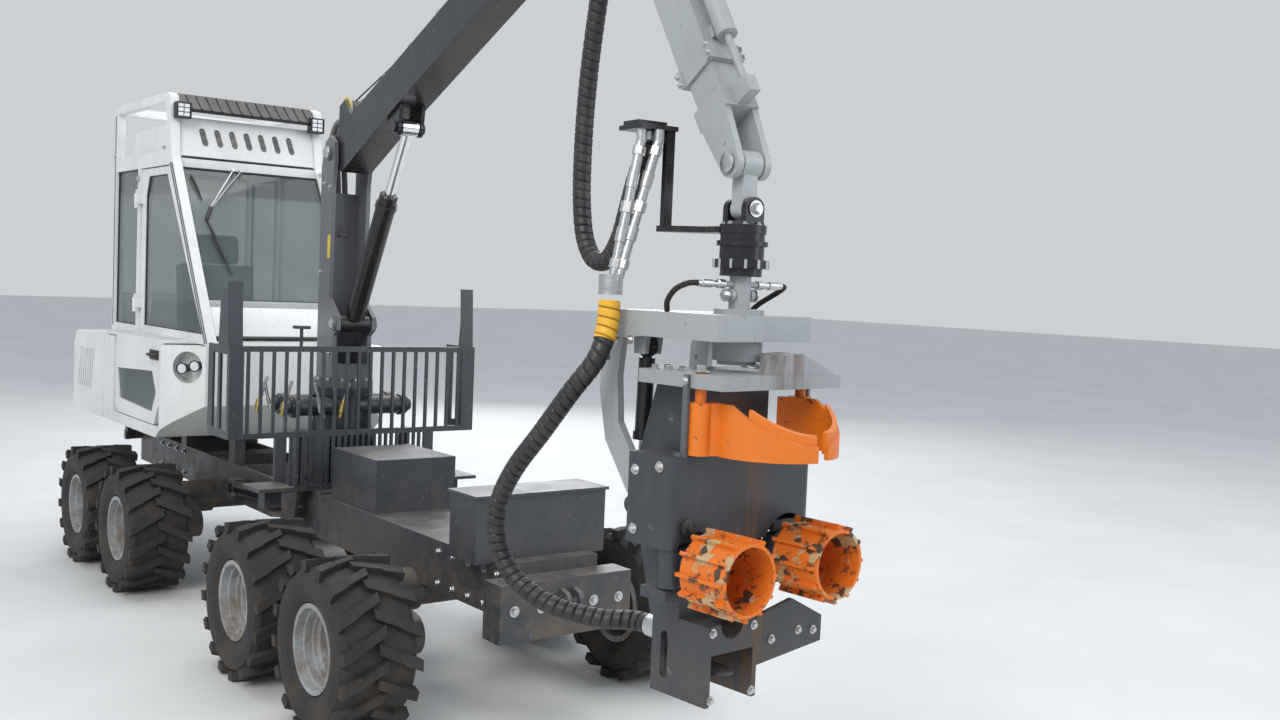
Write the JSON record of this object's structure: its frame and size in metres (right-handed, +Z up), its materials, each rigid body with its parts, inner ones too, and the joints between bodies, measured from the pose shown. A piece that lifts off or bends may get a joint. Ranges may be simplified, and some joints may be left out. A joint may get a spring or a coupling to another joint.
{
  "type": "thinning harvester",
  "caption": "Articulated forestry harvester on bogie wheels: barred cab on the rear frame, slewing crane on the front frame, tilting harvester head with feed rollers and curved knives.",
  "frame": {"origin": "on the ground under the centre of the machine's bounding box", "axes": "+X forward, +Y to the machine's left, +Z up"},
  "size_m": [6.1512, 1.7, 3.4012],
  "materials": {
    "white_paint": "satin",
    "dark_paint": "satin",
    "grey_paint": "satin",
    "black_paint": "semi gloss",
    "rod_chrome": "polished",
    "tyre_rubber": "matte",
    "window_glass": "tinted",
    "lamp_plastic": "matte",
    "seat_fabric": "woven",
    "orange_paint": "worn",
    "hose_rubber": "matte",
    "bare_steel": "brushed"
  },
  "bodies": {
    "rear": {"rear_chassis": "dark_paint", "cab_frame": "white_paint", "cab_body": "white_paint", "cab_glass": "window_glass", "cab_lamps": "lamp_plastic", "cab_seat": "seat_fabric"},
    "door": {"cab_door": "white_paint", "door_glass": "window_glass"},
    "hood": {"engine_hood": "white_paint"},
    "joint": {"joint_block": "dark_paint"},
    "steer_barrel_left": {"steer_barrel_left": "black_paint"},
    "steer_rod_left": {"steer_rod_left": "rod_chrome"},
    "steer_barrel_right": {"steer_barrel_right": "black_paint"},
    "steer_rod_right": {"steer_rod_right": "rod_chrome"},
    "front": {"front_chassis": "dark_paint", "crane_guard": "dark_paint"},
    "pillar": {"pillar": "grey_paint"},
    "lift_barrel": {"lift_barrel": "black_paint"},
    "lift_rod": {"lift_rod": "rod_chrome"},
    "boom": {"boom": "black_paint"},
    "winch": {"winch_drum": "grey_paint"},
    "fold_barrel": {"fold_barrel": "black_paint"},
    "fold_rod": {"fold_rod": "rod_chrome"},
    "stick": {"stick": "grey_paint"},
    "extension": {"stick_extension": "grey_paint"},
    "tip_link": {"tip_link": "grey_paint"},
    "rotator": {"rotator": "black_paint", "hose_tip": "hose_rubber", "hose_couplers": "bare_steel"},
    "tilt_frame": {"tilt_frame": "grey_paint"},
    "tilt_barrel": {"tilt_barrel": "black_paint"},
    "tilt_rod": {"tilt_rod": "rod_chrome"},
    "head": {"head_body": "dark_paint", "hose_head": "hose_rubber"},
    "bogie_rear_left": {"bogie_rear_left": "dark_paint"},
    "bogie_rear_right": {"bogie_rear_right": "dark_paint"},
    "bogie_front_left": {"bogie_front_left": "dark_paint"},
    "bogie_front_right": {"bogie_front_right": "dark_paint"},
    "wheel_1_left": {"tyre_1_left": "tyre_rubber", "rim_1_left": "grey_paint"},
    "wheel_1_right": {"tyre_1_right": "tyre_rubber", "rim_1_right": "grey_paint"},
    "wheel_2_left": {"tyre_2_left": "tyre_rubber", "rim_2_left": "grey_paint"},
    "wheel_2_right": {"tyre_2_right": "tyre_rubber", "rim_2_right": "grey_paint"},
    "wheel_3_left": {"tyre_3_left": "tyre_rubber", "rim_3_left": "grey_paint"},
    "wheel_3_right": {"tyre_3_right": "tyre_rubber", "rim_3_right": "grey_paint"},
    "wheel_4_left": {"tyre_4_left": "tyre_rubber", "rim_4_left": "grey_paint"},
    "wheel_4_right": {"tyre_4_right": "tyre_rubber", "rim_4_right": "grey_paint"},
    "roller_arm_left": {"roller_arm_left": "dark_paint"},
    "roller_left": {"roller_left": "orange_paint"},
    "knife_left": {"knife_left": "orange_paint"},
    "roller_arm_right": {"roller_arm_right": "dark_paint"},
    "roller_right": {"roller_right": "orange_paint"},
    "knife_right": {"knife_right": "orange_paint"}
  },
  "joints": [
    {"name": "steer", "type": "hinge", "parent": "rear", "child": "joint", "pos_m": [-0.65451, 0, 0.54], "axis": [0, 0, 1], "range_deg": [-38, 38]},
    {"name": "steer_barrel_left", "type": "hinge", "parent": "rear", "child": "steer_barrel_left", "pos_m": [-1.17451, 0.27, 0.54], "axis": [0, 0, 1], "range_deg": [-0.76, 0.76]},
    {"name": "steer_rod_left", "type": "slide", "parent": "steer_barrel_left", "child": "steer_rod_left", "axis": [0.9899, -0.1414, 0], "range_m": [-0.12497, 0.12497]},
    {"name": "steer_barrel_right", "type": "hinge", "parent": "rear", "child": "steer_barrel_right", "pos_m": [-1.17451, -0.27, 0.54], "axis": [0, 0, 1], "range_deg": [-0.76, 0.76]},
    {"name": "steer_rod_right", "type": "slide", "parent": "steer_barrel_right", "child": "steer_rod_right", "axis": [0.9899, 0.1414, 0], "range_m": [-0.12497, 0.12497]},
    {"name": "frame_roll", "type": "hinge", "parent": "joint", "child": "front", "pos_m": [-0.37451, 0, 0.54], "axis": [1, 0, 0], "range_deg": [-12, 12]},
    {"name": "bogie_rear_left", "type": "hinge", "parent": "rear", "child": "bogie_rear_left", "pos_m": [-1.75451, 0.445, 0.4], "axis": [0, 1, 0], "range_deg": [-15, 15]},
    {"name": "bogie_rear_right", "type": "hinge", "parent": "rear", "child": "bogie_rear_right", "pos_m": [-1.75451, -0.445, 0.4], "axis": [0, 1, 0], "range_deg": [-15, 15]},
    {"name": "bogie_front_left", "type": "hinge", "parent": "front", "child": "bogie_front_left", "pos_m": [0.74549, 0.445, 0.4], "axis": [0, 1, 0], "range_deg": [-15, 15]},
    {"name": "bogie_front_right", "type": "hinge", "parent": "front", "child": "bogie_front_right", "pos_m": [0.74549, -0.445, 0.4], "axis": [0, 1, 0], "range_deg": [-15, 15]},
    {"name": "wheel_1_left", "type": "hinge", "parent": "bogie_front_left", "child": "wheel_1_left", "pos_m": [1.14549, 0.695, 0.33], "axis": [0, 1, 0], "continuous": true},
    {"name": "wheel_1_right", "type": "hinge", "parent": "bogie_front_right", "child": "wheel_1_right", "pos_m": [1.14549, -0.695, 0.33], "axis": [0, 1, 0], "continuous": true},
    {"name": "wheel_2_left", "type": "hinge", "parent": "bogie_front_left", "child": "wheel_2_left", "pos_m": [0.34549, 0.695, 0.33], "axis": [0, 1, 0], "continuous": true},
    {"name": "wheel_2_right", "type": "hinge", "parent": "bogie_front_right", "child": "wheel_2_right", "pos_m": [0.34549, -0.695, 0.33], "axis": [0, 1, 0], "continuous": true},
    {"name": "wheel_3_left", "type": "hinge", "parent": "bogie_rear_left", "child": "wheel_3_left", "pos_m": [-1.35451, 0.695, 0.33], "axis": [0, 1, 0], "continuous": true},
    {"name": "wheel_3_right", "type": "hinge", "parent": "bogie_rear_right", "child": "wheel_3_right", "pos_m": [-1.35451, -0.695, 0.33], "axis": [0, 1, 0], "continuous": true},
    {"name": "wheel_4_left", "type": "hinge", "parent": "bogie_rear_left", "child": "wheel_4_left", "pos_m": [-2.15451, 0.695, 0.33], "axis": [0, 1, 0], "continuous": true},
    {"name": "wheel_4_right", "type": "hinge", "parent": "bogie_rear_right", "child": "wheel_4_right", "pos_m": [-2.15451, -0.695, 0.33], "axis": [0, 1, 0], "continuous": true},
    {"name": "door", "type": "hinge", "parent": "rear", "child": "door", "pos_m": [-2.35451, -0.47, 1.8], "axis": [0, 0, -1], "range_deg": [0, 75]},
    {"name": "hood", "type": "hinge", "parent": "rear", "child": "hood", "pos_m": [-2.96451, 0, 0.77], "axis": [0, -1, 0], "range_deg": [0, 70]},
    {"name": "slew", "type": "hinge", "parent": "front", "child": "pillar", "pos_m": [-0.44451, 0, 1], "axis": [0, 0, -1], "range_deg": [-110, 110]},
    {"name": "boom", "type": "hinge", "parent": "pillar", "child": "boom", "pos_m": [-0.44451, 0, 2.31], "axis": [-0.0698, -0.9976, 0], "range_deg": [-18, 42]},
    {"name": "lift_barrel", "type": "hinge", "parent": "pillar", "child": "lift_barrel", "pos_m": [-0.32481, -0.00837, 1.47], "axis": [-0.0698, -0.9976, 0], "range_deg": [-8.26, 18.61]},
    {"name": "lift_rod", "type": "slide", "parent": "lift_barrel", "child": "lift_rod", "axis": [0.5449, -0.0381, 0.8376], "range_m": [-0.15482, 0.35857]},
    {"name": "winch", "type": "hinge", "parent": "boom", "child": "winch", "pos_m": [-0.38236, -0.00435, 2.51891], "axis": [0.0698, 0.9976, 0], "continuous": true},
    {"name": "stick", "type": "hinge", "parent": "boom", "child": "stick", "pos_m": [1.99274, -0.17043, 3.19925], "axis": [0.0698, 0.9976, 0], "range_deg": [-75, 15]},
    {"name": "fold_barrel", "type": "hinge", "parent": "boom", "child": "fold_barrel", "pos_m": [0.96666, -0.09868, 2.98451], "axis": [0.0698, 0.9976, 0], "range_deg": [-1.23, 0.65]},
    {"name": "fold_rod", "type": "slide", "parent": "fold_barrel", "child": "fold_rod", "axis": [0.9392, -0.0657, 0.337], "range_m": [-0.21195, 0.04399]},
    {"name": "extend", "type": "slide", "parent": "stick", "child": "extension", "axis": [0.5433, -0.038, -0.8387], "range_m": [0, 0.58]},
    {"name": "tip", "type": "hinge", "parent": "extension", "child": "tip_link", "pos_m": [2.71534, -0.22096, 2.08382], "axis": [0.0698, 0.9976, 0], "range_deg": [-60, 60]},
    {"name": "swing", "type": "hinge", "parent": "tip_link", "child": "rotator", "pos_m": [2.71534, -0.22096, 1.95382], "axis": [0.9976, -0.0698, 0], "range_deg": [-30, 30]},
    {"name": "turn", "type": "hinge", "parent": "rotator", "child": "tilt_frame", "pos_m": [2.71534, -0.22096, 1.75782], "axis": [0, 0, 1], "range_deg": [-170, 170]},
    {"name": "tilt", "type": "hinge", "parent": "tilt_frame", "child": "head", "pos_m": [2.5258, -0.23421, 1.13582], "axis": [-0.0698, 0.9976, 0], "range_deg": [0, 90]},
    {"name": "tilt_barrel", "type": "hinge", "parent": "tilt_frame", "child": "tilt_barrel", "pos_m": [2.46207, -0.35495, 1.53582], "axis": [-0.0698, 0.9976, 0], "range_deg": [-0.5, 6.23]},
    {"name": "tilt_rod", "type": "slide", "parent": "tilt_barrel", "child": "tilt_rod", "axis": [-0.0247, -0.0017, -0.9997], "range_m": [-0.16945, 0.002]},
    {"name": "roller_arm_left", "type": "hinge", "parent": "head", "child": "roller_arm_left", "pos_m": [2.7175, 0.03481, 0.93082], "axis": [0, 0, 1], "range_deg": [-10, 35]},
    {"name": "roller_left", "type": "hinge", "parent": "roller_arm_left", "child": "roller_left", "pos_m": [2.8617, -0.02026, 0.93082], "axis": [0.9976, 0.0698, 0], "continuous": true},
    {"name": "knife_left", "type": "hinge", "parent": "head", "child": "knife_left", "pos_m": [2.77038, -0.00459, 1.39582], "axis": [0, 0, 1], "range_deg": [0, 60]},
    {"name": "roller_arm_right", "type": "hinge", "parent": "head", "child": "roller_arm_right", "pos_m": [2.75308, -0.47394, 0.93082], "axis": [0, 0, -1], "range_deg": [-10, 35]},
    {"name": "roller_right", "type": "hinge", "parent": "roller_arm_right", "child": "roller_right", "pos_m": [2.8882, -0.39934, 0.93082], "axis": [0.9976, 0.0698, 0], "continuous": true},
    {"name": "knife_right", "type": "hinge", "parent": "head", "child": "knife_right", "pos_m": [2.79996, -0.42756, 1.39582], "axis": [0, 0, -1], "range_deg": [0, 60]}
  ],
  "couplings": [
    {"joint": "steer_barrel_left", "follows": "steer", "ratio": 0.00683},
    {"joint": "steer_rod_left", "follows": "steer", "m_per_rad": -0.18541},
    {"joint": "steer_barrel_right", "follows": "steer", "ratio": 0.00683},
    {"joint": "steer_rod_right", "follows": "steer", "m_per_rad": 0.18541},
    {"joint": "lift_barrel", "follows": "boom", "ratio": 0.43117},
    {"joint": "lift_rod", "follows": "boom", "m_per_rad": 0.48643},
    {"joint": "fold_barrel", "follows": "stick", "ratio": 0.00974},
    {"joint": "fold_rod", "follows": "stick", "m_per_rad": 0.16039},
    {"joint": "tilt_barrel", "follows": "tilt", "ratio": 0.0637},
    {"joint": "tilt_rod", "follows": "tilt", "m_per_rad": -0.1066}
  ]
}
